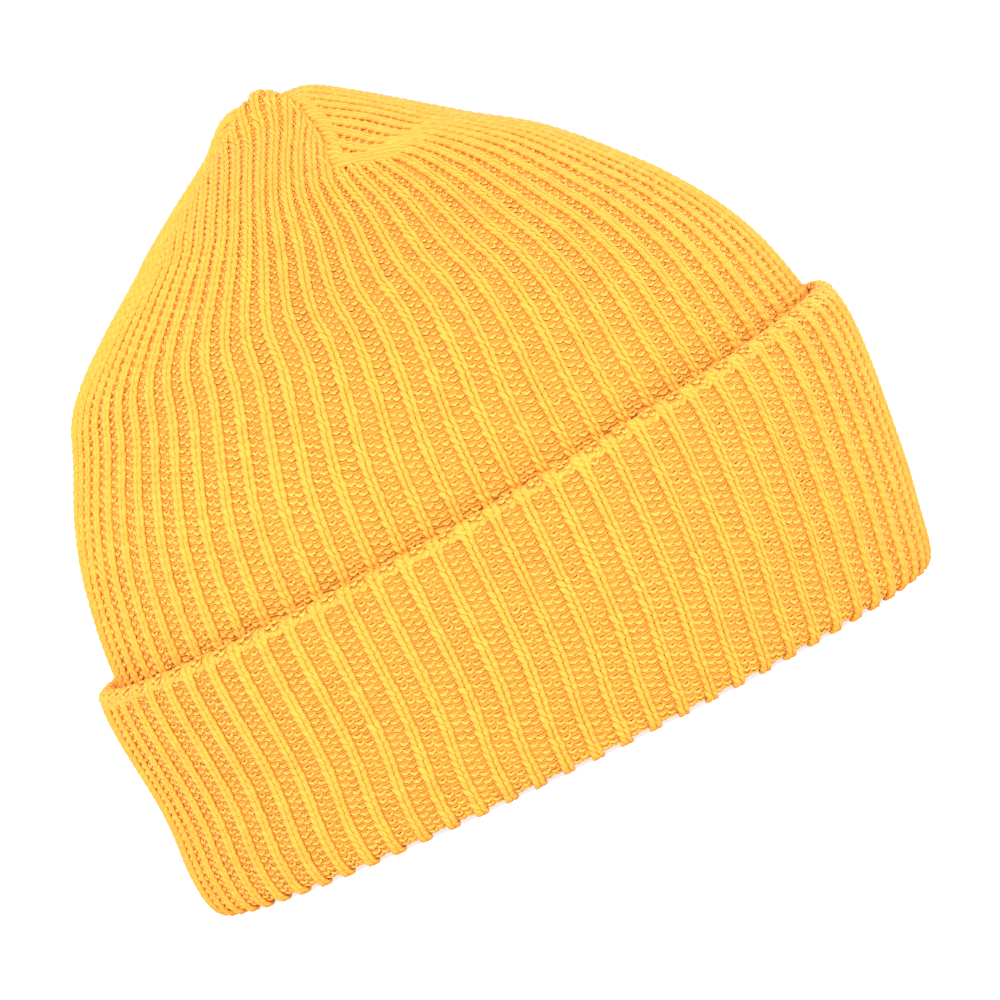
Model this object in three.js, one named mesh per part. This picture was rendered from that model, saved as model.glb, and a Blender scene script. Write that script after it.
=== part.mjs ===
// A fisherman beanie: one knitted tube of upright ribs, closed by four short seams at the top
// and turned up into a band at the bottom. Millimetres, +Z up. The origin is in the middle of
// the resting plane, and the wearer's face would look along -Y.
import * as THREE from 'three';
import { mergeVertices } from 'three/addons/utils/BufferGeometryUtils.js';

// Driving sizes of the crown, measured over its ridges.
const totalHeight = 178.5;
const crownDepth = 197;
const crownBreadth = 172;
const planRoundness = 2.2;
const wall = 2.4;
const ribDepth = 1.3;
const ribsPerPanel = 19;
const panelCount = 4;

// The four seams at the top: where the first one is on the way round, as a share of the way
// from the back over the wearer's right side, how deep they lie, and the share of the ribs that
// end on them before they are that deep. Each seam starts with a jog, where it cuts across the
// ribs before it and draws the ribs after it along, up to about jogReachRibs ribs away.
const firstSeamShare = 0.065;
const seamDepth = 1.6;
const seamFadeRibs = 0.1;
const jogReachRibs = 5;
const knobRise = 4.8;

// The turned-up band: a single wall, with a thicker hem along its top edge that leans on the
// crown, and a fold at the bottom that the crown's end stands in. The space between the band
// and the crown is widest at pocketHeight below the top edge.
const bandHeightBack = 62.8;
const bandHeightSide = 66;
const bandHeightFront = 74.8;
const bandWall = 3.4;
const hemWall = 6.1;
const hemHeight = 8;
const hemRound = 1.6;
const hemTopOut = 0.55;
const pocketHeight = 20;
const foldHeight = 9;
const restWidth = 3.2;
const clearance = 0.3;

// Colour and finish of the yarn.
const yarnColour = 0xffb52e;
const yarnRoughness = 0.95;

// Level sections of the crown, from the resting plane to the peak.
// height is a share of totalHeight. lean is how far the section's middle lies towards the back,
// and depth its size front to back, as shares of half crownDepth. breadth is a share of half
// crownBreadth. ribs is the share of the ribs that the seams haven't ended yet. turn is how many
// ribs further round than at the foot they all lie, and jog how many ribs the seams lie back.
const crownSections = [
  { height: 0.000, lean: 0.031, depth: 0.975, breadth: 0.970, ribs: 1, turn: 0, jog: 0 },
  { height: 0.066, lean: 0.026, depth: 0.985, breadth: 0.980, ribs: 1, turn: 0, jog: 0 },
  { height: 0.170, lean: 0.005, depth: 0.990, breadth: 0.992, ribs: 1, turn: 0, jog: 0 },
  { height: 0.356, lean: 0.001, depth: 1.000, breadth: 1.000, ribs: 1, turn: 0, jog: 0 },
  { height: 0.479, lean: 0.004, depth: 0.967, breadth: 0.982, ribs: 1, turn: 0.12, jog: 0 },
  { height: 0.569, lean: 0.012, depth: 0.910, breadth: 0.945, ribs: 1, turn: 0.5, jog: 0 },
  { height: 0.647, lean: 0.025, depth: 0.831, breadth: 0.875, ribs: 1, turn: 0.85, jog: 0 },
  { height: 0.698, lean: 0.043, depth: 0.772, breadth: 0.805, ribs: 1, turn: 1, jog: 0 },
  { height: 0.736, lean: 0.046, depth: 0.712, breadth: 0.745, ribs: 1, turn: 1.15, jog: 0 },
  { height: 0.787, lean: 0.038, depth: 0.607, breadth: 0.675, ribs: 1, turn: 1.3, jog: 0 },
  { height: 0.838, lean: 0.037, depth: 0.476, breadth: 0.595, ribs: 0.98, turn: 1.4, jog: 0 },
  { height: 0.862, lean: 0.037, depth: 0.418, breadth: 0.540, ribs: 0.91, turn: 1.5, jog: -3.1 },
  { height: 0.899, lean: 0.030, depth: 0.323, breadth: 0.420, ribs: 0.72, turn: 1.6, jog: -2.2 },
  { height: 0.930, lean: 0.021, depth: 0.239, breadth: 0.305, ribs: 0.51, turn: 1.7, jog: -1.5 },
  { height: 0.955, lean: 0.017, depth: 0.169, breadth: 0.205, ribs: 0.34, turn: 1.8, jog: -0.9 },
  { height: 0.973, lean: 0.008, depth: 0.092, breadth: 0.108, ribs: 0.18, turn: 1.8, jog: -0.4 },
  { height: 0.979, lean: 0.000, depth: 0.000, breadth: 0.000, ribs: 0, turn: 1.8, jog: 0 },
];

// How high each panel's tip puffs up beside the peak, as a share of knobRise, in order from the
// back over the wearer's right side. A tip reaches up to where tipReach of the ribs still run.
const panelTips = [1, 0.1, 0.1, 0.6];
const tipReach = 0.42;

// Which section rows get a ring of the mesh: the outer side of the crown also has one halfway
// between the rows that the seams cross, and the inner side leaves out rows that it can spare.
const lastWholeRow = crownSections.findIndex((row) => row.ribs < 1) - 1;
const sparedInnerRows = [2, 5, 7, 9, 12, 15];

// The band's outer side, from its foot to its hem. height is a share of the band's height at
// that place, and out how far the side stands outside the crown, as a share of hemWall.
const bandOuterSide = [
  { height: 0.045, out: 0.55 },
  { height: 0.140, out: 0.64 },
  { height: 0.420, out: 0.72 },
  { height: 0.780, out: 0.99 },
  { height: 0.965, out: 0.96 },
];

// Fineness of the searches, and how close two points are to be one.
const planSteps = 1440;
const heightSearchSteps = 40;
const shareStep = 0.002;
const placeStep = 0.02;
const mergeDistance = 1e-3;
const seamTolerance = 1e-3;

const columnsPerPanel = ribsPerPanel * 2;
const columnCount = panelCount * columnsPerPanel;
const backToFrontRise = (bandHeightFront - bandHeightBack) / 2;
const bandHeightEnds = (bandHeightFront + bandHeightBack) / 2;
const bandHeightMiddle = (bandHeightEnds + bandHeightSide) / 2;
const bandSideDip = (bandHeightEnds - bandHeightSide) / 2;

// One smooth value between the rows of a table, through all of them.
function between(rows, column, place) {
  const last = rows.length - 1;
  const row = Math.min(Math.floor(place), last - 1);
  const t = place - row;
  const value = (index) => rows[Math.min(Math.max(index, 0), last)][column];
  const before = value(row - 1);
  const from = value(row);
  const to = value(row + 1);
  const after = value(row + 2);
  const curve = 2 * from - 2 * to + (to - before) / 2 + (after - from) / 2;
  const slope = (to - before) / 2;
  return from + slope * t + (3 * (to - from) - 2 * slope - (after - from) / 2) * t * t + curve * t ** 3;
}

// The place in the section table where the crown has a given height.
function placeAtHeight(height) {
  let low = 0;
  let high = crownSections.length - 1;
  for (let step = 0; step < heightSearchSteps; step += 1) {
    const middle = (low + high) / 2;
    if (between(crownSections, 'height', middle) * totalHeight < height) low = middle;
    else high = middle;
  }
  return low;
}

// A point of the plan curve with half axes of 1, at an angle from the back over the right side.
function planPoint(angle) {
  const bend = (value) => Math.sign(value) * Math.abs(value) ** (2 / planRoundness);
  return { x: -bend(Math.sin(angle)), y: bend(Math.cos(angle)) };
}

// The ribs lie evenly along the widest section, so an angle follows from the way round to it.
const wayRound = [0];
for (let step = 1; step <= planSteps; step += 1) {
  const a = planPoint((2 * Math.PI * (step - 1)) / planSteps);
  const b = planPoint((2 * Math.PI * step) / planSteps);
  const chord = Math.hypot((a.x - b.x) * crownBreadth, (a.y - b.y) * crownDepth);
  wayRound.push(wayRound[step - 1] + chord);
}

function angleAtShare(share) {
  const turns = Math.floor(share);
  const way = (share - turns) * wayRound[planSteps];
  let before = 0;
  let step = planSteps;
  while (step - before > 1) {
    const middle = Math.floor((before + step) / 2);
    if (wayRound[middle] < way) before = middle;
    else step = middle;
  }
  const part = (way - wayRound[step - 1]) / (wayRound[step] - wayRound[step - 1]);
  return 2 * Math.PI * (turns + (step - 1 + part) / planSteps);
}

// A point of the smooth form that lies over the crown's ridges.
function formPoint(share, place) {
  const plan = planPoint(angleAtShare(share));
  const depth = between(crownSections, 'depth', place) * crownDepth / 2;
  const breadth = between(crownSections, 'breadth', place) * crownBreadth / 2;
  const middle = between(crownSections, 'lean', place) * crownDepth / 2;
  const height = between(crownSections, 'height', place) * totalHeight;
  return new THREE.Vector3(plan.x * Math.max(breadth, 0), middle + plan.y * Math.max(depth, 0), height);
}

// The direction straight out of the form, from its slopes round and up.
function formOutward(share, place) {
  if (place > crownSections.length - 1 - placeStep) return new THREE.Vector3(0, 0, 1);
  const round = formPoint(share + shareStep, place).sub(formPoint(share - shareStep, place));
  const up = formPoint(share, place + placeStep).sub(formPoint(share, place - placeStep));
  return round.cross(up).normalize();
}

// Where a column of the mesh runs at a place: its share of the way round, how far across its
// panel it is, from 0 to 1, and whether it has reached a seam. The ribs stay evenly spread in a
// panel, so those beside its edges end on the seams one by one.
function columnAt(column, place) {
  const ribs = THREE.MathUtils.clamp(between(crownSections, 'ribs', place), 0, 1);
  const turn = between(crownSections, 'turn', place) / (ribsPerPanel * panelCount);
  const jog = between(crownSections, 'jog', place) / ribsPerPanel;
  const panel = Math.floor(column / columnsPerPanel);
  const fromMiddle = (column - panel * columnsPerPanel) / columnsPerPanel - 0.5;
  const isPeak = ribs < 0.001;
  const across = isPeak ? 0 : THREE.MathUtils.clamp(fromMiddle / ribs + 0.5, 0, 1);
  const drawn = across + jog * Math.exp(-across * ribsPerPanel / jogReachRibs);
  const end = 1 + jog;
  const share = firstSeamShare + (panel + Math.min(drawn, end)) / panelCount + turn;
  const isOnSeam = ribs < 1 && (across === 0 || drawn > end - seamTolerance);
  return { share, across, isOnSeam, ribs, panel };
}

// A point of the crown's knit: a ridge or a trough column, at a depth under the ridges.
function crownPoint(column, place, depth) {
  const { share, across, isOnSeam, ribs, panel } = columnAt(column, place);
  const relief = column % 2 === 0 || isOnSeam ? ribDepth : 0;
  const valley = isOnSeam ? seamDepth * Math.min((1 - ribs) / seamFadeRibs, 1) : 0;
  const tip = ribs < tipReach ? Math.sin(Math.PI * ribs / tipReach) ** 2 : 0;
  const puff = knobRise * panelTips[panel] * tip * Math.sin(Math.PI * across);
  const offset = puff - relief - valley - depth;
  return formPoint(share, place).addScaledVector(formOutward(share, place), offset);
}

// A ring of points round the hat, one for each column.
function ring(pointOfColumn) {
  return Array.from({ length: columnCount }, (_, column) => pointOfColumn(column));
}

// A closed solid from rings that follow one another. A tube closes on its first ring, and
// any other list starts and ends in a point.
function solidFromRings(rings, isTube) {
  const positions = [];
  const spans = isTube ? rings.length : rings.length - 1;
  const push = (a, b, c) => positions.push(...a.toArray(), ...b.toArray(), ...c.toArray());
  for (let row = 0; row < spans; row += 1) {
    const lower = rings[row];
    const upper = rings[(row + 1) % rings.length];
    for (let column = 0; column < columnCount; column += 1) {
      const next = (column + 1) % columnCount;
      push(lower[column], upper[next], upper[column]);
      push(lower[column], lower[next], upper[next]);
    }
  }
  const soup = new THREE.BufferGeometry();
  soup.setAttribute('position', new THREE.Float32BufferAttribute(positions, 3));
  return withoutFlatTriangles(mergeVertices(soup, mergeDistance));
}

// Columns that a seam has ended share their points, which leaves triangles with no area.
function withoutFlatTriangles(geometry) {
  const corners = geometry.index.array;
  const kept = [];
  for (let i = 0; i < corners.length; i += 3) {
    const [a, b, c] = [corners[i], corners[i + 1], corners[i + 2]];
    if (a !== b && b !== c && c !== a) kept.push(a, b, c);
  }
  geometry.setIndex(kept);
  geometry.computeVertexNormals();
  return geometry;
}

function namedMesh(name, geometry) {
  const material = new THREE.MeshStandardMaterial({ color: yarnColour, metalness: 0 });
  material.roughness = yarnRoughness;
  const mesh = new THREE.Mesh(geometry, material);
  mesh.name = name;
  return mesh;
}

// Crown: one layer of ribbed knit. Its lower end stands on the fold inside the band.
function makeCrown() {
  const lastRow = crownSections.length - 1;
  const lowEnd = placeAtHeight(foldHeight + clearance);
  const firstRow = Math.ceil(lowEnd);
  const outerPlaces = [lowEnd];
  const innerPlaces = [lowEnd];
  for (let row = firstRow; row <= lastRow; row += 1) {
    outerPlaces.push(row);
    if (row >= lastWholeRow && row < lastRow) outerPlaces.push(row + 0.5);
    if (!sparedInnerRows.includes(row)) innerPlaces.push(row);
  }
  const outer = outerPlaces.map((place) => ring((column) => crownPoint(column, place, 0)));
  const inner = innerPlaces.map((place) => ring((column) => crownPoint(column, place, wall)));
  return namedMesh('crown', solidFromRings([...inner.reverse(), ...outer], false));
}

// The band's height changes smoothly from the back to the front, and is a little less at the
// sides than halfway between the two.
function bandHeightAt(share) {
  const turn = 2 * Math.PI * share;
  return bandHeightMiddle - backToFrontRise * Math.cos(turn) + bandSideDip * Math.cos(2 * turn);
}

// A point of the band, so far outside the crown's ridges and so high. It follows the crown's
// plan level, because the layers lie side by side.
function bandPoint(column, height, out) {
  const place = placeAtHeight(height);
  const { share } = columnAt(column, 0);
  const outward = formOutward(share, place).setZ(0).normalize();
  const relief = column % 2 === 0 ? ribDepth : 0;
  return formPoint(share, place).addScaledVector(outward, out - relief).setZ(height);
}

// Band: the knit turned outward and up, with a hem at its top edge and a fold to rest on.
function makeBand() {
  const footMiddle = (bandWall - wall) / 2;
  const hemPocket = clearance + hemWall - bandWall;
  const outlines = Array.from({ length: columnCount }, (_, column) => {
    const height = bandHeightAt(columnAt(column, 0).share);
    return [
      { z: 0, out: footMiddle - restWidth / 2 },
      { z: 0, out: footMiddle + restWidth / 2 },
      ...bandOuterSide.map((row) => ({ z: row.height * height, out: clearance + row.out * hemWall })),
      { z: height, out: clearance + hemWall * hemTopOut },
      { z: height - hemRound, out: clearance },
      { z: height - hemHeight, out: clearance },
      { z: height - pocketHeight, out: hemPocket },
      { z: foldHeight, out: clearance },
      { z: foldHeight, out: -wall },
    ];
  });
  const rings = outlines[0].map((_, row) => ring((column) => {
    const corner = outlines[column][row];
    return bandPoint(column, corner.z, corner.out);
  }));
  return namedMesh('cuff', solidFromRings(rings, true));
}

const group = new THREE.Group();
group.add(makeCrown(), makeBand());

export default group;
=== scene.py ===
import math

import bmesh
import bpy
import numpy as np
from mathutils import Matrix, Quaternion, Vector


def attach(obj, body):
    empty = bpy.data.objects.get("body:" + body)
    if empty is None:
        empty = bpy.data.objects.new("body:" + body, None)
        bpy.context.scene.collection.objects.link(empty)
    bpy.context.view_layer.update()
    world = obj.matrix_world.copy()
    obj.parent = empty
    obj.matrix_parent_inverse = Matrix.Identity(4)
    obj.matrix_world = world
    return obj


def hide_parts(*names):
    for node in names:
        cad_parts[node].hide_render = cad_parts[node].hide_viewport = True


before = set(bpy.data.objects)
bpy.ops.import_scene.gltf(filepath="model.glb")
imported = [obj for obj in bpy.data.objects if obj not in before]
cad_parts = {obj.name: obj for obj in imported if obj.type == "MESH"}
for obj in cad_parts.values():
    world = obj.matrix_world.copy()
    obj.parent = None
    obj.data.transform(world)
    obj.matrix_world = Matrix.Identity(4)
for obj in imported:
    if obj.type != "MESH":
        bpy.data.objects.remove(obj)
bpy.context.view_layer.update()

# Camera: it looks at the wearer's right side from just above the surface, through a long lens,
# and it is turned so that the peak leans to the left of the picture.
VIEW_DISTANCE = 1.8
VIEW_RISE = math.radians(3.2)
VIEW_TURN = math.radians(26.4)
VIEW_WIDTH = 0.2476
VIEW_MIDDLE = Vector((0.0, -0.0064, 0.0607))
SENSOR_WIDTH = 36.0

camera = bpy.data.objects.new("camera", bpy.data.cameras.new("camera"))
bpy.context.scene.collection.objects.link(camera)
camera.data.sensor_width = SENSOR_WIDTH
camera.data.lens = SENSOR_WIDTH * VIEW_DISTANCE / VIEW_WIDTH
towards_camera = Vector((-math.cos(VIEW_RISE), 0, math.sin(VIEW_RISE)))
camera.location = VIEW_MIDDLE + towards_camera * VIEW_DISTANCE
camera.rotation_mode = "QUATERNION"
level_view = (-towards_camera).to_track_quat("-Z", "Y")
camera.rotation_quaternion = level_view @ Quaternion((0, 0, 1), -VIEW_TURN)
bpy.context.scene.camera = camera

# Crown: one layer of ribbed knit, 76 upright ribs of plain stitches with a column of purl
# stitches between each two. Four short seams close the tube, and the ribs end on them. Only the
# seam on the wearer's right side lies back over the ribs beside it.
CROWN_HEIGHT = 0.1785
CROWN_DEPTH = 0.197
CROWN_BREADTH = 0.172
PLAN_ROUNDNESS = 2.2
WALL = 0.0024
RIB_DEPTH = 0.0013
RIBS_PER_PANEL = 19
PANELS = 4
FIRST_SEAM = 0.065
SEAM_DEPTH = 0.0005
SEAM_FADE_RIBS = 0.1
SEAM_REACH = 0.0026
JOG_REACH = 5
SEAM_JOGS = np.array([0, 1, 0, 0])
LAP_RISE = 0.0003
LAP_REACH = 0.0050
KNOB_RISE = 0.0048
PANEL_TIPS = np.array([1, 0.1, 0.1, 0.6])
TIP_REACH = 0.42
FOLD_HEIGHT = 0.009
CLEARANCE = 0.0003

# Level sections of the crown from the resting plane to the peak. height is a share of
# CROWN_HEIGHT, lean and depth of half CROWN_DEPTH, breadth of half CROWN_BREADTH. ribs is the
# share of the ribs that the seams haven't ended yet, turn how many ribs round they all lie, and
# jog how many ribs a seam that jogs lies back.
SECTION_COLUMNS = ("height", "lean", "depth", "breadth", "ribs", "turn", "jog")
CROWN_SECTIONS = (
    (0.000, 0.031, 0.975, 0.970, 1, 0, 0),
    (0.066, 0.026, 0.985, 0.980, 1, 0, 0),
    (0.170, 0.005, 0.990, 0.992, 1, 0, 0),
    (0.356, 0.001, 1.000, 1.000, 1, 0, 0),
    (0.479, 0.004, 0.967, 0.982, 1, 0.12, 0),
    (0.569, 0.012, 0.910, 0.945, 1, 0.5, 0),
    (0.647, 0.025, 0.831, 0.875, 1, 0.85, 0),
    (0.698, 0.043, 0.772, 0.805, 1, 1, 0),
    (0.736, 0.046, 0.712, 0.745, 1, 1.15, 0),
    (0.787, 0.038, 0.607, 0.675, 1, 1.3, 0),
    (0.838, 0.037, 0.476, 0.595, 0.98, 1.4, 0),
    (0.862, 0.037, 0.418, 0.540, 0.91, 1.5, -3.1),
    (0.899, 0.030, 0.323, 0.420, 0.72, 1.6, -2.2),
    (0.930, 0.021, 0.239, 0.305, 0.51, 1.7, -1.5),
    (0.955, 0.017, 0.169, 0.205, 0.34, 1.8, -0.9),
    (0.973, 0.008, 0.092, 0.108, 0.18, 1.8, -0.4),
    (0.979, 0.000, 0.000, 0.000, 0, 1.8, 0),
)
section = {name: np.array(values, float) for name, values in zip(SECTION_COLUMNS, zip(*CROWN_SECTIONS))}
PEAK_PLACE = len(CROWN_SECTIONS) - 1
SHARE_STEP = 0.002
PLACE_STEP = 0.02
LEAST_RIBS = 1e-3
LEAST_LENGTH = 1e-12
PLAN_STEPS = 1441


def between(values, place):
    """One smooth value between the values of a table, through all of them."""
    last = len(values) - 1
    place = np.asarray(place, float)
    row = np.clip(np.floor(place).astype(int), 0, last - 1)
    t = place - row
    before, start, end, after = (values[np.clip(row + step, 0, last)] for step in (-1, 0, 1, 2))
    slope = (end - before) / 2
    end_slope = (after - start) / 2
    curve = 2 * start - 2 * end + slope + end_slope
    return start + slope * t + (3 * (end - start) - 2 * slope - end_slope) * t**2 + curve * t**3


def plan_point(angle):
    """A point of the plan curve with half axes of 1, at an angle from the back over the right side."""
    along, across = np.cos(angle), np.sin(angle)
    power = 2 / PLAN_ROUNDNESS
    return -np.sign(across) * np.abs(across) ** power, np.sign(along) * np.abs(along) ** power


plan_angles = np.linspace(0, 2 * math.pi, PLAN_STEPS)
plan_x, plan_y = plan_point(plan_angles)
plan_chords = np.hypot(np.diff(plan_x) * CROWN_BREADTH / 2, np.diff(plan_y) * CROWN_DEPTH / 2)
way_round = np.concatenate([[0], np.cumsum(plan_chords)])
GIRTH = way_round[-1]


def form_point(share, place):
    """A point of the smooth form over the ridges, at a share of the way round and a section place."""
    turns = np.floor(share)
    angle = np.interp((share - turns) * GIRTH, way_round, plan_angles)
    x, y = plan_point(angle)
    depth = np.maximum(between(section["depth"], place), 0) * CROWN_DEPTH / 2
    breadth = np.maximum(between(section["breadth"], place), 0) * CROWN_BREADTH / 2
    middle = between(section["lean"], place) * CROWN_DEPTH / 2
    height = between(section["height"], place) * CROWN_HEIGHT
    return np.stack(np.broadcast_arrays(x * breadth, middle + y * depth, height), axis=-1)


def unit(vectors):
    """The same directions with a length of 1."""
    return vectors / np.maximum(np.linalg.norm(vectors, axis=-1, keepdims=True), LEAST_LENGTH)


def form_outward(share, place):
    """The direction straight out of the form, from its slopes round and up."""
    place = np.minimum(place, PEAK_PLACE - PLACE_STEP)
    round_slope = form_point(share + SHARE_STEP, place) - form_point(share - SHARE_STEP, place)
    up_slope = form_point(share, place + PLACE_STEP) - form_point(share, place - PLACE_STEP)
    return unit(np.cross(round_slope, up_slope))


def girth_at(place):
    """The way round the crown at a place."""
    return GIRTH * (between(section["depth"], place) + between(section["breadth"], place)) / 2


def ribs_at(place):
    """The share of the ribs that still run at a place."""
    return np.clip(between(section["ribs"], place), LEAST_RIBS, 1)


def turn_at(place):
    """How far round all the ribs lie at a place, as a share of the whole way."""
    return between(section["turn"], place) / (PANELS * RIBS_PER_PANEL)


def jog_at(seam, place):
    """How far a seam lies back at a place, as a share of a panel: none, or less than none."""
    return SEAM_JOGS[seam % PANELS] * between(section["jog"], place) / RIBS_PER_PANEL


def drawn_along(panel, across, place):
    """How far the ribs after a panel's seam are drawn back with its jog, as a share of the panel."""
    return jog_at(panel, place) * np.exp(-across * RIBS_PER_PANEL / JOG_REACH)


def crown_point(panel, rib, place, sink):
    """A point of the crown's knit: so many ribs across its panel, and sunk under the ridges."""
    panel = np.asarray(panel)
    ribs = ribs_at(place)
    across = np.clip((rib / RIBS_PER_PANEL - 0.5) / ribs + 0.5, 0, 1)
    panel_end = 1 + jog_at(panel + 1, place)
    spread = np.minimum(across + drawn_along(panel, across, place), panel_end)
    share = FIRST_SEAM + (panel + spread) / PANELS + turn_at(place)
    seam_fade = np.minimum((1 - ribs) / SEAM_FADE_RIBS, 1)
    panel_girth = girth_at(place) / PANELS
    past_seam = (spread - jog_at(panel, place)) * panel_girth
    before_seam = (panel_end - spread) * panel_girth
    valley = SEAM_DEPTH * np.exp(-((before_seam / SEAM_REACH) ** 2))
    lap = LAP_RISE * np.exp(-((past_seam / LAP_REACH) ** 2))
    tip = np.sin(math.pi * np.minimum(ribs, TIP_REACH) / TIP_REACH) ** 2
    puff = KNOB_RISE * PANEL_TIPS[panel % PANELS] * tip * np.sin(across * math.pi)
    offset = puff + seam_fade * (lap - valley) - sink
    return form_point(share, place) + form_outward(share, place) * offset[..., None]


# Courses of stitches: each goes all the way round, and they lie evenly up the crown.
COURSE_HEIGHT = 0.00216
KNIT_LOW_HEIGHT = 0.056
GRID_PLACES = 801
GRID_SHARES = 24

course_grid = np.linspace(0, PEAK_PLACE, GRID_PLACES)
grid_shares = np.linspace(0, 1, GRID_SHARES, endpoint=False)
grid_points = form_point(grid_shares[None, :], course_grid[:, None])
grid_steps = np.linalg.norm(np.diff(grid_points, axis=0), axis=-1).mean(axis=1)
way_up = np.concatenate([[0], np.cumsum(grid_steps)])


def place_at_height(height):
    """The section place where the crown has a given height."""
    return np.interp(height, between(section["height"], course_grid) * CROWN_HEIGHT, course_grid)


def place_at_course(course):
    """The section place of a course, counted from where the visible knit starts."""
    start = np.interp(place_at_height(KNIT_LOW_HEIGHT), course_grid, way_up)
    return np.interp(start + course * COURSE_HEIGHT, way_up, course_grid)


knit_start = np.interp(place_at_height(KNIT_LOW_HEIGHT), course_grid, way_up)
CROWN_COURSES = int((way_up[-1] - knit_start) / COURSE_HEIGHT)

# How the width of a rib is shared: the plain stitches narrow less than the purl ones between
# them, which close up where the knit is drawn together.
RIDGE_LEAST = 0.0029
RIDGE_SHARE = 0.05
RIDGE_MOST_SHARE = 0.92


def ridge_width(pitch):
    """The width of a rib's plain stitches, from the pitch of the ribs."""
    return np.minimum(RIDGE_LEAST + RIDGE_SHARE * pitch, RIDGE_MOST_SHARE * pitch)


def crown_pitch(place):
    """The pitch of the crown's ribs at a place."""
    return girth_at(place) / (PANELS * RIBS_PER_PANEL * ribs_at(place))


# The wall that the stitches stand on. Its outer side is sunk under them, and its inner side is
# ribbed the other way round, as this knit is.
RIDGE_SINK = 0.0012
TROUGH_SINK = 0.0013
RIDGE_TOP_SHARE = 0.8
OPEN_TROUGH = 0.003
JOIN_DISTANCE = 1e-5
WALL_COLUMNS = 4 * RIBS_PER_PANEL


def wall_columns(pitch):
    """Across a panel, in ribs, the places of each ridge's two edges and each trough's two edges."""
    rib = np.repeat(np.arange(RIBS_PER_PANEL), 4)
    side = np.tile([-1, -1, 1, 1], RIBS_PER_PANEL)
    is_trough = np.tile([True, False, False, True], RIBS_PER_PANEL)
    half_ridge = ridge_width(pitch) / pitch / 2
    trough_edge = (half_ridge + 0.5) / 2
    ridge_edge = half_ridge * RIDGE_TOP_SHARE
    return rib + 0.5 + side * np.where(is_trough, trough_edge, ridge_edge), is_trough


def closed_wall(name, rings, courses, material):
    """A closed wall from rings of points that follow one another, with a knit UV map."""
    rows, columns = rings.shape[:2]
    mesh = bpy.data.meshes.new(name)
    row, column = np.meshgrid(np.arange(rows - 1), np.arange(columns), indexing="ij")
    row, column = row.ravel(), column.ravel()
    corner_rows = np.stack([row, row, row + 1, row + 1], axis=1)
    corner_columns = np.stack([column, column + 1, column + 1, column], axis=1)
    faces = corner_rows * columns + corner_columns % columns
    mesh.from_pydata(rings.reshape(-1, 3).tolist(), [], faces.tolist())
    knit_map = mesh.uv_layers.new(name="knit")
    places = np.stack([corner_columns.ravel() / 4, courses[corner_rows.ravel()]], axis=1)
    knit_map.data.foreach_set("uv", places.astype(np.float32).ravel())
    shell = bmesh.new()
    shell.from_mesh(mesh)
    bmesh.ops.remove_doubles(shell, verts=shell.verts, dist=JOIN_DISTANCE)
    bmesh.ops.dissolve_degenerate(shell, edges=shell.edges, dist=JOIN_DISTANCE)
    shell.to_mesh(mesh)
    shell.free()
    mesh.polygons.foreach_set("use_smooth", [True] * len(mesh.polygons))
    mesh.materials.append(material)
    piece = bpy.data.objects.new(name, mesh)
    bpy.context.scene.collection.objects.link(piece)
    return piece


def add_node(tree, kind, inputs=(), **settings):
    """A node with its settings, and its inputs set to a value or linked to another socket."""
    node = tree.nodes.new(kind)
    for name, value in settings.items():
        setattr(node, name, value)
    for name, value in dict(inputs).items():
        if isinstance(value, bpy.types.NodeSocket):
            tree.links.new(value, node.inputs[name])
        else:
            node.inputs[name].default_value = value
    return node


# Yarn: soft and matt. Its colour is painted shade from crest to hollow: lit on the crests of the
# strands and darker in the hollows between them, where shade falls. Its plies and fine fibres are
# relief and small changes of shade: painted shade in the plies' grooves, random tone in the fibres.
YARN_LIGHT = (0.98, 0.420, 0.056, 1)
# A painted shade: the colour of the hollows between strands, where shade falls.
YARN_PAINTED_SHADE = (0.98, 0.33, 0.030, 1)
LEAST_ROUGHNESS = 0.68
ROUGHNESS_RANGE = 0.15
YARN_SPECULAR = 0.25
YARN_SHEEN = 0.05
SHADE_RANGE = 0.05
PLY_RELIEF = 0.00014
# How much the plies' twist changes the painted shade, darker in the grooves between them.
PLY_PAINTED_SHADE = 0.10
FIBRE_SCALE = 1500.0
FIBRE_DETAIL = 2.0
FIBRE_SHADE = 0.22
FIBRE_RELIEF_SHARE = 0.8

# The wall shows slanted strands between the stitches: how many to a course, how far they slant,
# how far they stand out, how much painted light lifts the wall, which lies in shade under the
# stitches, and how much painted shade darkens it between its strands.
STROKES_PER_COURSE = 2.0
STROKE_SLANT = 0.9
STROKE_RELIEF = 3 * PLY_RELIEF
STROKE_PAINTED_LIGHT = 1.15
STROKE_PAINTED_LIGHT_RANGE = 0.5
SHADE_DRIFT_SCALE = 60.0


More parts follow.
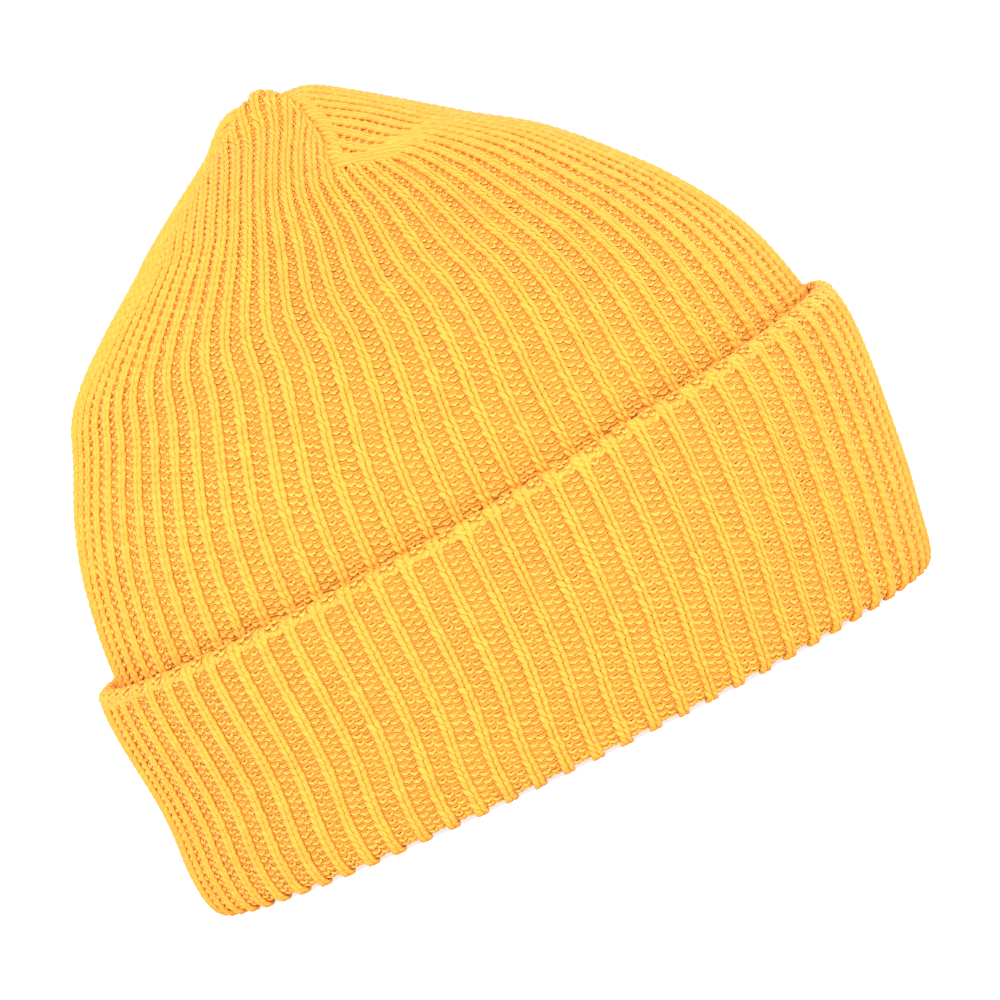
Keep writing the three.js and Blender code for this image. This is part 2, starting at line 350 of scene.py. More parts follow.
def yarn_dye_and_painted_shading():
    """The look of twisted yarn: painted shade from crest to hollow, uneven dye, plies and fine fibres."""
    group = bpy.data.node_groups.new("yarn_dye_and_painted_shading", "ShaderNodeTree")
    for name in ("Painted shading", "Turns", "Shade"):
        group.interface.new_socket(name=name, in_out="INPUT", socket_type="NodeSocketFloat")
    group.interface.new_socket(name="Colour", in_out="OUTPUT", socket_type="NodeSocketColor")
    for name in ("Relief", "Roughness"):
        group.interface.new_socket(name=name, in_out="OUTPUT", socket_type="NodeSocketFloat")
    given = add_node(group, "NodeGroupInput").outputs
    place = add_node(group, "ShaderNodeTexCoord")
    fibres = add_node(group, "ShaderNodeTexNoise",
                      {"Vector": place.outputs["Object"], "Scale": FIBRE_SCALE, "Detail": FIBRE_DETAIL})
    angle = add_node(group, "ShaderNodeMath", {0: given["Turns"], 1: 2 * math.pi}, operation="MULTIPLY")
    twist = add_node(group, "ShaderNodeMath", {0: angle.outputs[0]}, operation="SINE")
    relief = add_node(group, "ShaderNodeMath",
                      {0: fibres.outputs["Fac"], 1: FIBRE_RELIEF_SHARE, 2: twist.outputs[0]},
                      operation="MULTIPLY_ADD")
    # Painted shading: 0 gives the painted shade of the hollows, 1 the lit colour, more than 1 paints light
    # past it.
    painted_shading = add_node(group, "ShaderNodeMath", {0: twist.outputs[0], 1: PLY_PAINTED_SHADE, 2: given["Painted shading"]},
                     operation="MULTIPLY_ADD")
    colour = add_node(group, "ShaderNodeMix", {0: painted_shading.outputs[0]}, data_type="RGBA", clamp_factor=False)
    colour.inputs[6].default_value = YARN_PAINTED_SHADE
    colour.inputs[7].default_value = YARN_LIGHT
    fibre_shade = add_node(group, "ShaderNodeMath",
                           {0: fibres.outputs["Fac"], 1: FIBRE_SHADE, 2: 1 - FIBRE_SHADE / 2},
                           operation="MULTIPLY_ADD")
    shade = add_node(group, "ShaderNodeMath", {0: given["Shade"], 1: SHADE_RANGE, 2: fibre_shade.outputs[0]},
                     operation="MULTIPLY_ADD")
    dyed = add_node(group, "ShaderNodeVectorMath", {0: colour.outputs[2]}, operation="SCALE")
    group.links.new(shade.outputs[0], dyed.inputs["Scale"])
    roughness = add_node(group, "ShaderNodeMath",
                         {0: fibres.outputs["Fac"], 1: ROUGHNESS_RANGE, 2: LEAST_ROUGHNESS},
                         operation="MULTIPLY_ADD")
    output = add_node(group, "NodeGroupOutput")
    group.links.new(dyed.outputs[0], output.inputs["Colour"])
    group.links.new(relief.outputs[0], output.inputs["Relief"])
    group.links.new(roughness.outputs[0], output.inputs["Roughness"])
    return group


dye_and_shading_group = yarn_dye_and_painted_shading()


def yarn_shader(name, painted_shading, turns, shade, relief):
    """A material with the yarn's dye, fibres and painted shade, fed by sockets that its own tree makes."""
    material = bpy.data.materials.new(name)
    material.use_nodes = True
    tree = material.node_tree
    shader = tree.nodes["Principled BSDF"]
    shader.inputs["Specular IOR Level"].default_value = YARN_SPECULAR
    shader.inputs["Sheen Weight"].default_value = YARN_SHEEN
    dye_and_shading = add_node(tree, "ShaderNodeGroup", node_tree=dye_and_shading_group)
    for socket, source in (("Painted shading", painted_shading(tree)), ("Turns", turns(tree)), ("Shade", shade(tree))):
        tree.links.new(source, dye_and_shading.inputs[socket])
    bump = add_node(tree, "ShaderNodeBump",
                    {"Height": dye_and_shading.outputs["Relief"], "Distance": relief, "Strength": 1.0})
    tree.links.new(dye_and_shading.outputs["Colour"], shader.inputs["Base Color"])
    tree.links.new(dye_and_shading.outputs["Roughness"], shader.inputs["Roughness"])
    tree.links.new(bump.outputs["Normal"], shader.inputs["Normal"])
    return material


def attribute_value(name):
    """A function that reads one of the piece's own attributes in a material's tree."""
    return lambda tree: add_node(tree, "ShaderNodeAttribute", attribute_name=name).outputs["Fac"]


def wall_height(tree):
    """The slanted strands of the knit's hidden side, from the wall's own map."""
    knit_map = add_node(tree, "ShaderNodeUVMap", uv_map="knit")
    parts = add_node(tree, "ShaderNodeSeparateXYZ", {0: knit_map.outputs["UV"]})
    rib = add_node(tree, "ShaderNodeMath", {0: parts.outputs["X"], 1: 1.0, 2: 0.0}, operation="PINGPONG")
    strokes = add_node(tree, "ShaderNodeMath", {0: parts.outputs["Y"], 1: STROKES_PER_COURSE},
                       operation="MULTIPLY")
    lean = add_node(tree, "ShaderNodeMath", {0: rib.outputs[0], 1: STROKE_SLANT, 2: strokes.outputs[0]},
                    operation="MULTIPLY_ADD")
    return lean.outputs[0]


def wall_painted_shading(tree):
    """Painted light over the wall, which lies in shade under the stitches, and painted shade between its
    strands.
    """
    angle = add_node(tree, "ShaderNodeMath", {0: wall_height(tree), 1: 2 * math.pi}, operation="MULTIPLY")
    strand_side = add_node(tree, "ShaderNodeMath", {0: angle.outputs[0]}, operation="SINE")
    return add_node(tree, "ShaderNodeMath",
                    {0: strand_side.outputs[0], 1: STROKE_PAINTED_LIGHT_RANGE, 2: STROKE_PAINTED_LIGHT},
                    operation="MULTIPLY_ADD").outputs[0]


def wall_shade(tree):
    """Slow changes of shade over the wall."""
    place = add_node(tree, "ShaderNodeTexCoord")
    drift = add_node(tree, "ShaderNodeTexNoise",
                     {"Vector": place.outputs["Object"], "Scale": SHADE_DRIFT_SCALE})
    return add_node(tree, "ShaderNodeMath", {0: drift.outputs["Fac"], 1: 2.0, 2: -1.0},
                    operation="MULTIPLY_ADD").outputs[0]


# The stitches carry their painted shading as an attribute; the wall's is painted from its map.
soft_yarn = yarn_shader("soft_yarn", attribute_value("painted_shading"), attribute_value("ply"),
                        attribute_value("shade"), PLY_RELIEF)
deep_knit = yarn_shader("deep_knit", wall_painted_shading, wall_height, wall_shade, STROKE_RELIEF)

# The courses that have a ring of the wall: few inside the band, every second one up the crown and
# all of them close to the peak.
HIDDEN_COURSES = 20
HIDDEN_STEP = 4
PEAK_COURSES = 40

close_courses = CROWN_COURSES - PEAK_COURSES
hidden_rows = np.arange(-HIDDEN_COURSES, 0, HIDDEN_STEP)
second_rows = np.arange(0, close_courses, 2)
rows_up = np.concatenate([hidden_rows, second_rows, np.arange(close_courses, CROWN_COURSES)])
low_place = place_at_height(FOLD_HEIGHT + CLEARANCE)


def crown_ring(place, ridge_sink, trough_sink):
    """One ring of the crown's wall at a place, with its ridges and troughs sunk so far."""
    pitch = float(crown_pitch(min(place, PEAK_PLACE - PLACE_STEP)))
    columns, is_trough = wall_columns(pitch)
    openness = min((pitch - ridge_width(pitch)) / OPEN_TROUGH, 1)
    sink = np.where(is_trough, ridge_sink + (trough_sink - ridge_sink) * openness, ridge_sink)
    places = np.full(WALL_COLUMNS, place)
    quarters = [crown_point(np.full(WALL_COLUMNS, panel), columns, places, sink) for panel in range(PANELS)]
    return np.concatenate(quarters)


outer_courses = [course for course in rows_up if place_at_course(course) > low_place]
outer_places = [low_place] + [place_at_course(course) for course in outer_courses] + [PEAK_PLACE]
inner_places = outer_places[::2] + [PEAK_PLACE]
inner_rings = [crown_ring(place, WALL, WALL + RIB_DEPTH) for place in reversed(inner_places)]
outer_rings = [crown_ring(place, RIDGE_SINK, TROUGH_SINK) for place in outer_places]
for rings in (inner_rings[:1], outer_rings[-1:]):
    rings[0][:] = rings[0].mean(axis=0)
crown_rings = np.array(inner_rings + outer_rings)
ring_places = np.array(list(reversed(inner_places)) + outer_places)
ring_courses = (np.interp(ring_places, course_grid, way_up) - knit_start) / COURSE_HEIGHT
crown_wall = closed_wall("crown_wall", crown_rings, ring_courses, deep_knit)
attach(crown_wall, "root")
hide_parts("crown")

# Stitches: two strands that lean together for each plain stitch, and two curled arcs side by
# side, half a course apart, for each purl stitch. The same tree sets them on every piece. Each
# strand has a start, a middle and an end, whose x, y and z run across, up and out of the stitch in
# shares of its width, its course and its depth.
LEFT_LEG = ((0.04, -1.04, -0.42), (-0.30, -0.10, 0.02), (-0.28, 1.04, -0.50))
RIGHT_LEG = ((0.12, -1.00, -0.44), (0.32, 0.0, 0.0), (0.26, 1.04, -0.52))
PURL_ARC = ((-0.54, 0.42, -0.66), (0.0, -0.86, -0.26), (0.54, 0.42, -0.66))
LEG_DEPTH = 0.0029
LEG_SIDES = 5
LEG_PLIES = (2.4, 0.9, 0)
# Painted shading up the depth of a strand: painted shade low down, where it lies in shade, lit on top.
LEG_PAINTED_SHADING = 0.75
LEG_PAINTED_SHADING_RISE = 0.9
ARC_DEPTH = 0.0022
ARC_SIDES = 4
ARC_PLIES = (1.6, 1.6, 0)
# The purl arcs lie in the shaded troughs, so they are painted mostly past the lit colour: painted light.
ARC_PAINTED_SHADING = 1.95
ARC_PAINTED_SHADING_RISE = 1.4
ARC_OVERLAP = 0.0010
ARC_STAGGER = 0.25
TROUGH_LEAST = 0.0006
STRAND_TAPER = 0.22
STRAND_SEGMENTS = 4
STRAND_END = 0.001
HALF_COURSE = 0.5
RIB_STEP = 0.1


def strand(tree, line, thickness, sides):
    """A closed spindle of yarn along a bent line, thickest in its middle."""
    start, middle, end = line
    path = add_node(tree, "GeometryNodeCurveQuadraticBezier",
                    {"Resolution": STRAND_SEGMENTS, "Start": start, "Middle": middle, "End": end})
    along = add_node(tree, "GeometryNodeSplineParameter")
    half_turn = add_node(tree, "ShaderNodeMath", {0: along.outputs["Factor"], 1: math.pi},
                         operation="MULTIPLY")
    swell = add_node(tree, "ShaderNodeMath", {0: half_turn.outputs[0]}, operation="SINE")
    fullness = add_node(tree, "ShaderNodeMath", {0: swell.outputs[0], 1: STRAND_TAPER}, operation="POWER")
    radius = add_node(tree, "ShaderNodeMath", {0: fullness.outputs[0], 1: thickness}, operation="MULTIPLY")
    outline = add_node(tree, "GeometryNodeCurvePrimitiveCircle", {"Resolution": sides, "Radius": 1.0})
    tube = add_node(tree, "GeometryNodeCurveToMesh",
                    {"Curve": path.outputs["Curve"], "Profile Curve": outline.outputs["Curve"],
                     "Scale": radius.outputs[0]})
    closed = add_node(tree, "GeometryNodeMergeByDistance",
                      {"Geometry": tube.outputs["Mesh"], "Distance": STRAND_END})
    return closed.outputs["Geometry"]


def marked(tree, geometry, ply_direction, painted_shading_low, painted_shading_rise):
    """The strands of one stitch with their ply turns and painted shading, which their material reads."""
    place = add_node(tree, "GeometryNodeInputPosition")
    ply = add_node(tree, "ShaderNodeVectorMath", {0: place.outputs[0], 1: ply_direction},
                   operation="DOT_PRODUCT")
    parts = add_node(tree, "ShaderNodeSeparateXYZ", {0: place.outputs[0]})
    painted_shading = add_node(tree, "ShaderNodeMath", {0: parts.outputs["Z"], 1: painted_shading_rise, 2: painted_shading_low},
                     operation="MULTIPLY_ADD")
    with_ply = add_node(tree, "GeometryNodeStoreNamedAttribute",
                        {"Geometry": geometry, "Name": "ply", "Value": ply.outputs["Value"]},
                        data_type="FLOAT")
    with_crest = add_node(tree, "GeometryNodeStoreNamedAttribute",
                          {"Geometry": with_ply.outputs[0], "Name": "painted_shading", "Value": painted_shading.outputs[0]},
                          data_type="FLOAT")
    return with_crest.outputs[0]


def joined(tree, *geometries):
    """Several geometries as one."""
    join = add_node(tree, "GeometryNodeJoinGeometry")
    for geometry in reversed(geometries):
        tree.links.new(geometry, join.inputs[0])
    return join.outputs[0]


def cell_attribute(tree, name, kind):
    """An attribute of the guide's cells."""
    named = add_node(tree, "GeometryNodeInputNamedAttribute", {"Name": name}, data_type=kind)
    return named.outputs["Attribute"]


def knit_tree():
    """The tree that sets a stitch on every cell of a guide."""
    tree = bpy.data.node_groups.new("ribbed_stitches", "GeometryNodeTree")
    sockets = {}
    for name, kind, value in (
        ("Guide", "NodeSocketGeometry", None),
        ("Left leg", "NodeSocketFloat", 0.255),
        ("Right leg", "NodeSocketFloat", 0.225),
        ("Arc", "NodeSocketFloat", 0.19),
        ("Unevenness", "NodeSocketFloat", 0.12),
        ("Lean", "NodeSocketFloat", 0.17),
        ("Seed", "NodeSocketInt", 3),
        ("Yarn", "NodeSocketMaterial", None),
    ):
        sockets[name] = tree.interface.new_socket(name=name, in_out="INPUT", socket_type=kind)
        if value is not None:
            sockets[name].default_value = value
    tree.interface.new_socket(name="Knit", in_out="OUTPUT", socket_type="NodeSocketGeometry")
    given = add_node(tree, "NodeGroupInput").outputs
    left = strand(tree, LEFT_LEG, given["Left leg"], LEG_SIDES)
    right = strand(tree, RIGHT_LEG, given["Right leg"], LEG_SIDES)
    plain = marked(tree, joined(tree, left, right), LEG_PLIES, LEG_PAINTED_SHADING, LEG_PAINTED_SHADING_RISE)
    curl = strand(tree, PURL_ARC, given["Arc"], ARC_SIDES)
    purl = marked(tree, curl, ARC_PLIES, ARC_PAINTED_SHADING, ARC_PAINTED_SHADING_RISE)
    outward = cell_attribute(tree, "outward", "FLOAT_VECTOR")
    upward = cell_attribute(tree, "upward", "FLOAT_VECTOR")
    size = cell_attribute(tree, "size", "FLOAT_VECTOR")
    is_purl = cell_attribute(tree, "is_purl", "BOOLEAN")
    is_plain = add_node(tree, "FunctionNodeBooleanMath", {0: is_purl}, operation="NOT").outputs[0]
    facing = add_node(tree, "FunctionNodeAlignRotationToVector", {"Vector": outward}, axis="Z")
    turned = add_node(tree, "FunctionNodeAlignRotationToVector",
                      {"Rotation": facing.outputs[0], "Vector": upward}, axis="Y", pivot_axis="Z")
    uneven = add_node(tree, "FunctionNodeRandomValue", {"Seed": given["Seed"]}, data_type="FLOAT_VECTOR")
    uneven.inputs[0].default_value = (-1, -1, -1)
    uneven.inputs[1].default_value = (1, 1, 1)
    spread = add_node(tree, "ShaderNodeVectorMath", {0: uneven.outputs[0]}, operation="SCALE")
    tree.links.new(given["Unevenness"], spread.inputs["Scale"])
    factor = add_node(tree, "ShaderNodeVectorMath", {0: spread.outputs[0], 1: (1, 1, 1)}, operation="ADD")
    scale = add_node(tree, "ShaderNodeVectorMath", {0: size, 1: factor.outputs[0]}, operation="MULTIPLY")
    tilt = add_node(tree, "FunctionNodeRandomValue", {"Seed": given["Seed"]}, data_type="FLOAT")
    least_tilt = add_node(tree, "ShaderNodeMath", {0: given["Lean"], 1: -1.0}, operation="MULTIPLY")
    tree.links.new(least_tilt.outputs[0], tilt.inputs[2])
    tree.links.new(given["Lean"], tilt.inputs[3])
    tilt_angles = add_node(tree, "ShaderNodeCombineXYZ", {"Z": tilt.outputs[1]})
    tilt_turn = add_node(tree, "FunctionNodeEulerToRotation", {0: tilt_angles.outputs[0]})
    leaning = add_node(tree, "FunctionNodeRotateRotation",
                       {"Rotation": turned.outputs[0], "Rotate By": tilt_turn.outputs[0]},
                       rotation_space="LOCAL")
    shade = add_node(tree, "FunctionNodeRandomValue", {2: -1.0, 3: 1.0, "Seed": given["Seed"]},
                     data_type="FLOAT")
    sets = []
    for stitch, selection in ((plain, is_plain), (purl, is_purl)):
        placed = add_node(tree, "GeometryNodeInstanceOnPoints",
                          {"Points": given["Guide"], "Instance": stitch, "Selection": selection,
                           "Rotation": leaning.outputs[0], "Scale": scale.outputs[0]})
        shaded = add_node(tree, "GeometryNodeStoreNamedAttribute",
                          {"Geometry": placed.outputs[0], "Name": "shade", "Value": shade.outputs[1]},
                          data_type="FLOAT", domain="INSTANCE")
        sets.append(shaded.outputs[0])
    real = add_node(tree, "GeometryNodeRealizeInstances", {"Geometry": joined(tree, *sets)})
    smooth = add_node(tree, "GeometryNodeSetShadeSmooth", {"Geometry": real.outputs[0]})
    finished = add_node(tree, "GeometryNodeSetMaterial",
                        {"Geometry": smooth.outputs[0], "Material": given["Yarn"]})
    output = add_node(tree, "NodeGroupOutput")
    tree.links.new(finished.outputs[0], output.inputs[0])
    return tree, sockets


ribbed_stitches, stitch_sockets = knit_tree()


def stitch_cells(point_at, rib_middles, courses, widths, is_purl):
    """The cells of some stitches: their middles, directions and sizes, from a surface function."""
    middle = point_at(rib_middles, courses)
    upward = point_at(rib_middles, courses + HALF_COURSE) - point_at(rib_middles, courses - HALF_COURSE)
    sideways = point_at(rib_middles + RIB_STEP, courses) - point_at(rib_middles - RIB_STEP, courses)
    outward = unit(np.cross(sideways, upward))
    height = np.linalg.norm(upward, axis=-1)
    depth = np.full_like(height, ARC_DEPTH if is_purl else LEG_DEPTH)
    size = np.stack([widths, height, depth], axis=-1)
    return {"middle": middle, "upward": unit(upward), "outward": outward, "size": size,
            "is_purl": np.full(len(middle), is_purl)}


def purl_arcs(point_at, rib, course, width, pitch, side):
    """The cells of the arcs on one side, -1 or 1, of some purl stitches."""
    beside = rib + side * width / pitch / 4
    return stitch_cells(point_at, beside, course + side * ARC_STAGGER, (width + ARC_OVERLAP) / 2, True)


def knit_piece(name, cells, seed, node):
    """One piece of knit from its cells, as a plain mesh that stands for a node."""
    merged = {key: np.concatenate([cell[key] for cell in cells]) for key in cells[0]}
    guide = bpy.data.meshes.new(name)
    guide.from_pydata(merged["middle"].tolist(), [], [])
    for key in ("upward", "outward", "size"):
        guide.attributes.new(key, "FLOAT_VECTOR", "POINT").data.foreach_set(
            "vector", merged[key].astype(np.float32).ravel())
    guide.attributes.new("is_purl", "BOOLEAN", "POINT").data.foreach_set("value", merged["is_purl"])
    piece = bpy.data.objects.new(name, guide)
    bpy.context.scene.collection.objects.link(piece)
    modifier = piece.modifiers.new("stitches", "NODES")
    modifier.node_group = ribbed_stitches
    modifier[stitch_sockets["Yarn"].identifier] = soft_yarn
    modifier[stitch_sockets["Seed"].identifier] = seed
    graph = bpy.context.evaluated_depsgraph_get()
    knitted = piece.evaluated_get(graph)
    piece.data = bpy.data.meshes.new_from_object(knitted, preserve_all_data_layers=True, depsgraph=graph)
    piece.modifiers.clear()
    bpy.data.meshes.remove(guide)
    for key in ("upward", "outward", "size", "is_purl"):
        piece.data.attributes.remove(piece.data.attributes[key])
    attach(piece, "root")
    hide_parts(node)
    return piece


# Where less than SEAM_STARTS of the ribs still run, the ridges end on the seams. They run on past
# a seam by up to SEAM_EXTRA of a rib, bent aside to stay SEAM_MARGIN of a rib from it.
SEAM_STARTS = 0.999
SEAM_MARGIN = 0.25
SEAM_EXTRA = 0.5
ALMOST_NOTHING = 1e-6


def crown_knit(panel):
    """The stitches of one panel of the crown."""

    def point_at(rib, course):
        return crown_point(np.full(rib.shape, panel), rib, place_at_course(course), np.zeros(rib.shape))

    ribs, courses = np.meshgrid(np.arange(RIBS_PER_PANEL) + 0.5, np.arange(CROWN_COURSES) + 0.5)
    course = courses.ravel()
    place = place_at_course(course)
    half_panel = RIBS_PER_PANEL * ribs_at(place) / 2
    first_rib = RIBS_PER_PANEL / 2 - half_panel
    last_rib = RIBS_PER_PANEL / 2 + half_panel * (1 + 2 * jog_at(panel + 1, place))
    beside_seam = ribs_at(place) < SEAM_STARTS
    cells = []
    for side in (0, -1, 1):
        rib = ribs.ravel() - side / 2
        across = np.clip((rib - first_rib) / (2 * half_panel), 0, 1)
        closing = drawn_along(panel, across, place) * RIBS_PER_PANEL / JOG_REACH
        pitch = crown_pitch(place) * (1 - closing)
        ridge = ridge_width(pitch)
        past_seam = np.maximum(rib - last_rib, first_rib - rib)
        if side == 0:
            inside = past_seam < np.where(beside_seam, SEAM_EXTRA, 0)
            rib = np.where(beside_seam, np.clip(rib, first_rib + SEAM_MARGIN, last_rib - SEAM_MARGIN), rib)
            cells.append(stitch_cells(point_at, rib[inside], course[inside], ridge[inside], False))
        else:
            width = pitch - ridge
            inside = (width > TROUGH_LEAST) & (past_seam < ALMOST_NOTHING)
            rib, width, pitch = rib[inside], width[inside], pitch[inside]
            cells.append(purl_arcs(point_at, rib, course[inside], width, pitch, side))
    return cells


for panel in range(PANELS):
    knit_piece(f"crown_knit_{panel + 1}", crown_knit(panel), panel, "crown")

# Turned-up band: the same knit folded outward and up. It has a fold at its foot, which the hat
# rests on, and a soft rounded edge at its top, where the knit was begun.
BAND_HEIGHT_BACK = 0.0628
BAND_HEIGHT_SIDE = 0.066
BAND_HEIGHT_FRONT = 0.0748
BAND_WALL = 0.0034
HEM_WALL = 0.0061
HEM_HEIGHT = 0.008
HEM_ROUND = 0.0016
HEM_TOP_OUT = 0.55
POCKET_HEIGHT = 0.020
REST_WIDTH = 0.0032
BAND_COURSE_HEIGHT = 0.00195
FOOT_MIDDLE = (BAND_WALL - WALL) / 2

# The band's skin from the end of the fold inside, round the foot, up the outer side, over the
# hem and down behind it. A point's height is its rise plus its share of the band's height, and
# out is how far it stands outside the crown's ridges.
BAND_SKIN_COLUMNS = ("rise", "share", "out")
BAND_SKIN = (
    (FOLD_HEIGHT, 0, -WALL),
    (0, 0, FOOT_MIDDLE - REST_WIDTH / 2),
    (0, 0, FOOT_MIDDLE + REST_WIDTH / 2),
    (0, 0.045, CLEARANCE + 0.55 * HEM_WALL),
    (0, 0.140, CLEARANCE + 0.64 * HEM_WALL),
    (0, 0.420, CLEARANCE + 0.72 * HEM_WALL),
    (0, 0.780, CLEARANCE + 0.99 * HEM_WALL),
    (0, 0.965, CLEARANCE + 0.96 * HEM_WALL),
    (0, 1, CLEARANCE + HEM_TOP_OUT * HEM_WALL),
    (-HEM_ROUND, 1, CLEARANCE),
    (-HEM_HEIGHT, 1, CLEARANCE),
)
CORNER_CUTS = 3
SLOPE_STEP = 0.25


def rounded(points):
    """The same line with its corners cut several times, which leaves it smooth."""
    for _ in range(CORNER_CUTS):
        near = points[:-1] * 0.75 + points[1:] * 0.25
        far = points[:-1] * 0.25 + points[1:] * 0.75
        points = np.concatenate([points[:1], np.stack([near, far], axis=1).reshape(-1, 3), points[-1:]])
    return points


band_skin = dict(zip(BAND_SKIN_COLUMNS, rounded(np.array(BAND_SKIN, float)).T))
BAND_HEIGHT_ENDS = (BAND_HEIGHT_BACK + BAND_HEIGHT_FRONT) / 2
BAND_HEIGHT = (BAND_HEIGHT_ENDS + BAND_HEIGHT_SIDE) / 2
skin_heights = band_skin["rise"] + band_skin["share"] * BAND_HEIGHT
skin_steps = np.hypot(np.diff(skin_heights), np.diff(band_skin["out"]))
way_over = np.concatenate([[0], np.cumsum(skin_steps)])
BAND_COURSES = int(way_over[-1] / BAND_COURSE_HEIGHT)
RIBS = PANELS * RIBS_PER_PANEL


def band_height(share):
    """The band's height changes smoothly from the back to the front, and dips at the sides."""
    turn = 2 * math.pi * share
    rise = (BAND_HEIGHT_FRONT - BAND_HEIGHT_BACK) / 2
    dip = (BAND_HEIGHT_ENDS - BAND_HEIGHT_SIDE) / 2
    return BAND_HEIGHT - rise * np.cos(turn) + dip * np.cos(2 * turn)


def skin_point(share, course):
    """How high and how far out the band's skin is at a course."""
    way = course * BAND_COURSE_HEIGHT
    rise, part, out = (np.interp(way, way_over, column) for column in band_skin.values())
    return rise + part * band_height(share), out


def band_point(rib, course, sink):
    """A point of the band's knit: so many ribs round from the first seam, and sunk into its skin."""
    share = FIRST_SEAM + rib / RIBS
    height, out = skin_point(share, course)
    next_height, next_out = skin_point(share, course + SLOPE_STEP)
    last_height, last_out = skin_point(share, course - SLOPE_STEP)
    rise, run = next_height - last_height, next_out - last_out
    length = np.maximum(np.hypot(rise, run), LEAST_LENGTH)
    height = height + sink * run / length
    out = out - sink * rise / length
    place = place_at_height(height)
    outward = form_outward(share, place)
    outward[..., 2] = 0
    point = form_point(share, place) + unit(outward) * out[..., None]
    point[..., 2] = height
    return point


band_pitch = GIRTH / RIBS
columns, panel_troughs = wall_columns(band_pitch)
in_trough = np.tile(panel_troughs, PANELS)
panel_starts = np.arange(PANELS)[:, None] * RIBS_PER_PANEL
column_ribs = (panel_starts + columns).ravel()
column_sinks = np.where(in_trough, TROUGH_SINK, RIDGE_SINK)
column_reliefs = np.where(in_trough, RIB_DEPTH, 0)

# The knit is drawn up between the ridges where it folds at the foot, and the hem is fuller: its
# ridges spread and the troughs between them rise.
FOOT_COURSE = 5.4
FOOT_SINK = 0.0005
FOOT_REACH = 1.8
HEM_COURSE = BAND_COURSES - HEM_HEIGHT / BAND_COURSE_HEIGHT
HEM_RISE = 0.0009
HEM_SPREAD = 0.3
HEM_REACH = 3.0


def hem_share(course):
    """How much of the hem's fullness a course has, from none to all of it."""
    return np.clip((course - HEM_COURSE + HEM_REACH) / HEM_REACH * 2, 0, 1)


def extra_sink(course):
    """How far the purl stitches of a course are sunk beyond their place, or raised if negative."""
    drawn_up = FOOT_SINK * np.exp(-(((course - FOOT_COURSE) / FOOT_REACH) ** 2))
    return drawn_up - HEM_RISE * hem_share(course)


def level_ring(height, out):
    """A ring of the band's hidden side, at a height above the resting plane."""
    share = FIRST_SEAM + column_ribs / RIBS
    place = place_at_height(height)
    outward = form_outward(share, place)
    outward[..., 2] = 0
    point = form_point(share, place) + unit(outward) * (out - column_reliefs)[..., None]
    point[..., 2] = height
    return point


# The band's wall: a ring for each course of its skin, then three on its hidden side that close it,
# and the first one again. The closing rings have courses of their own on the wall's map.
CLOSING_COURSES = (BAND_COURSES + 5, 3, 1, 0)

wall_courses = np.arange(0, BAND_COURSES + 1, 1.0)
band_rings = []
for course in wall_courses:
    sinks = column_sinks + np.where(in_trough, extra_sink(course), 0)
    band_rings.append(band_point(column_ribs, np.full(column_ribs.shape, course), sinks))
ring_heights = band_height(FIRST_SEAM + column_ribs / RIBS)
band_rings.append(level_ring(ring_heights - POCKET_HEIGHT, CLEARANCE + HEM_WALL - BAND_WALL))
band_rings.append(level_ring(np.full(column_ribs.shape, FOLD_HEIGHT), CLEARANCE))
band_rings.append(level_ring(np.full(column_ribs.shape, FOLD_HEIGHT), -WALL))
band_rings.append(band_rings[0])
band_courses = np.concatenate([wall_courses, CLOSING_COURSES])
band_wall = closed_wall("cuff_wall", np.array(band_rings), band_courses, deep_knit)
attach(band_wall, "root")
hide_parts("cuff")

# The chain that the knit was begun with lies along the top edge of the hem. The last courses, which
# the hem hides, have no stitches.
EDGE_STITCHES = 72
EDGE_WIDTH = 0.0044
EDGE_SINK = 0.0006
EDGE_COURSE = HEM_COURSE - 0.9
BARE_COURSES = 2


def edge_chain(first_rib):
    """The stitches that lie end to end along one quarter of the hem's edge."""
    ribs_each = RIBS_PER_PANEL / EDGE_STITCHES

    def point_at(across, along):
        sink = np.full(across.shape, EDGE_SINK)
        return band_point(first_rib - along * ribs_each, EDGE_COURSE + across, sink)

    along = -np.arange(EDGE_STITCHES) - 0.5
    return stitch_cells(point_at, np.zeros(EDGE_STITCHES), along, np.full(EDGE_STITCHES, EDGE_WIDTH), False)


def band_knit(quarter):
    """The stitches of one quarter of the band."""

    def ridge_at(rib, course):
        return band_point(rib, course, np.zeros(rib.shape))

    def trough_at(rib, course):
        return band_point(rib, course, extra_sink(course))

    first_rib = quarter * RIBS_PER_PANEL
    ribs = first_rib + np.arange(RIBS_PER_PANEL) + 0.5
    courses = np.arange(BAND_COURSES - BARE_COURSES) + 0.5
    rib, course = (grid.ravel() for grid in np.meshgrid(ribs, courses))
    trough = band_pitch - ridge_width(band_pitch)
    ridge = ridge_width(band_pitch) + trough * HEM_SPREAD * hem_share(course)
    width = band_pitch - ridge
    ridges = stitch_cells(ridge_at, rib, course, ridge, False)
    troughs = [purl_arcs(trough_at, rib - side / 2, course, width, band_pitch, side) for side in (-1, 1)]
    return [ridges, edge_chain(first_rib)] + troughs


for quarter in range(PANELS):
    knit_piece(f"cuff_knit_{quarter + 1}", band_knit(quarter), PANELS + quarter, "cuff")

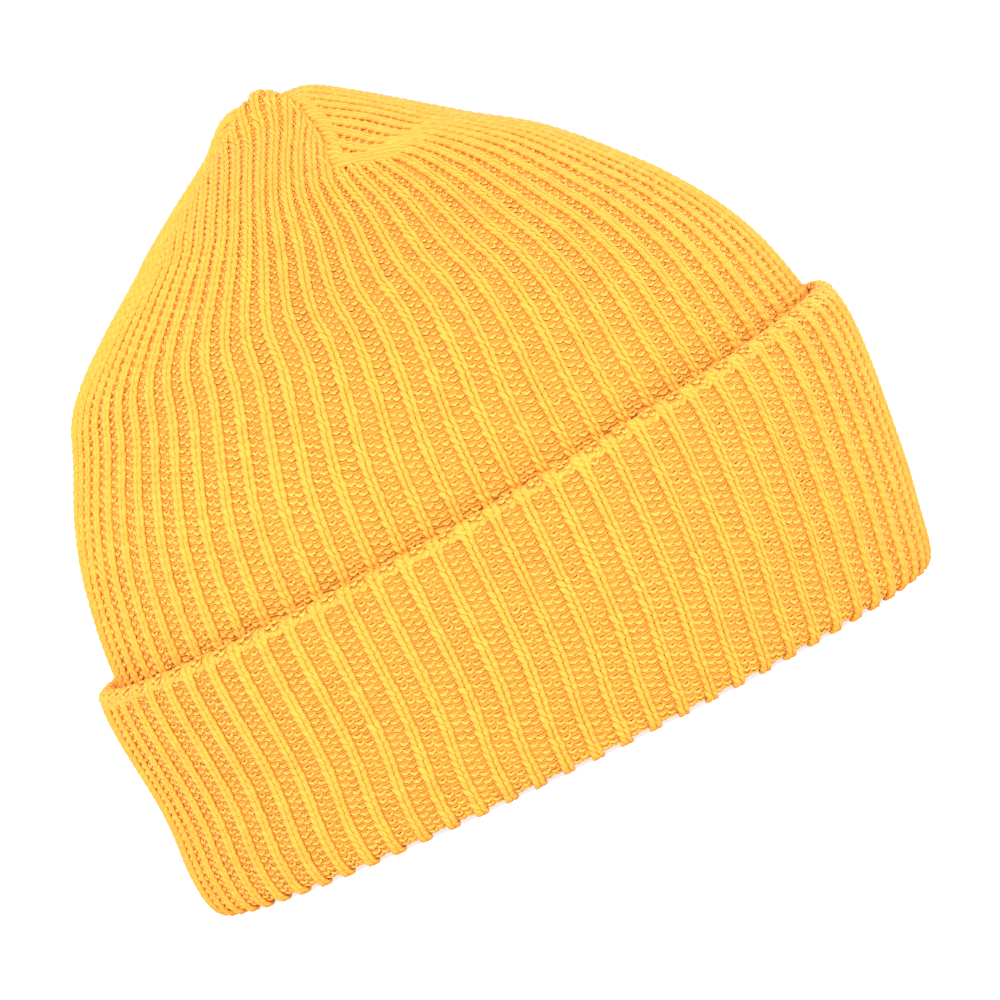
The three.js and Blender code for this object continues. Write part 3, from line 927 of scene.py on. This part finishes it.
# Floor and light: a wide pale floor, a white surround that gives most of the light, and a soft key
# light from the camera's side and above.
FLOOR_RADIUS = 8.0
FLOOR_CORNERS = 96
FLOOR_COLOUR = (0.92, 0.92, 0.92, 1)
FLOOR_ROUGHNESS = 0.9
FLOOR_GLOW = (0.3, 0.3, 0.3, 1)
FLOOR_GLOW_SEEN = (0.8, 0.8, 0.8, 1)
SURROUND_LIGHT = 1.6
SURROUND_SEEN = 1.05
KEY_ENERGY = 1.8
KEY_ANGLE = math.radians(35)
KEY_DIRECTION = Vector((1.0, 0.1, -0.5))

bpy.ops.mesh.primitive_circle_add(vertices=FLOOR_CORNERS, radius=FLOOR_RADIUS, fill_type="NGON")
floor = bpy.context.active_object
floor.name = "floor"
pale = bpy.data.materials.new("pale_floor")
pale.use_nodes = True
floor_shader = pale.node_tree.nodes["Principled BSDF"]
floor_shader.inputs["Base Color"].default_value = FLOOR_COLOUR
floor_shader.inputs["Roughness"].default_value = FLOOR_ROUGHNESS
floor_shader.inputs["Emission Strength"].default_value = 1.0
floor_seen = add_node(pale.node_tree, "ShaderNodeLightPath")
floor_glow = add_node(pale.node_tree, "ShaderNodeMix", {0: floor_seen.outputs["Is Camera Ray"]},
                      data_type="RGBA")
floor_glow.inputs[6].default_value = FLOOR_GLOW
floor_glow.inputs[7].default_value = FLOOR_GLOW_SEEN
pale.node_tree.links.new(floor_glow.outputs[2], floor_shader.inputs["Emission Color"])
floor.data.materials.append(pale)

world = bpy.data.worlds.new("studio")
bpy.context.scene.world = world
world.use_nodes = True
surround = world.node_tree
seen = add_node(surround, "ShaderNodeLightPath")
strength = add_node(surround, "ShaderNodeMix",
                    {0: seen.outputs["Is Camera Ray"], 2: SURROUND_LIGHT, 3: SURROUND_SEEN},
                    data_type="FLOAT")
surround.nodes["Background"].inputs["Color"].default_value = (1, 1, 1, 1)
surround.links.new(strength.outputs[0], surround.nodes["Background"].inputs["Strength"])
bpy.context.scene.view_settings.view_transform = "Standard"

key = bpy.data.lights.new("key_light", "SUN")
key.energy = KEY_ENERGY
key.angle = KEY_ANGLE
key_light = bpy.data.objects.new("key_light", key)
bpy.context.scene.collection.objects.link(key_light)
key_light.rotation_mode = "QUATERNION"
key_light.rotation_quaternion = KEY_DIRECTION.to_track_quat("-Z", "Y")
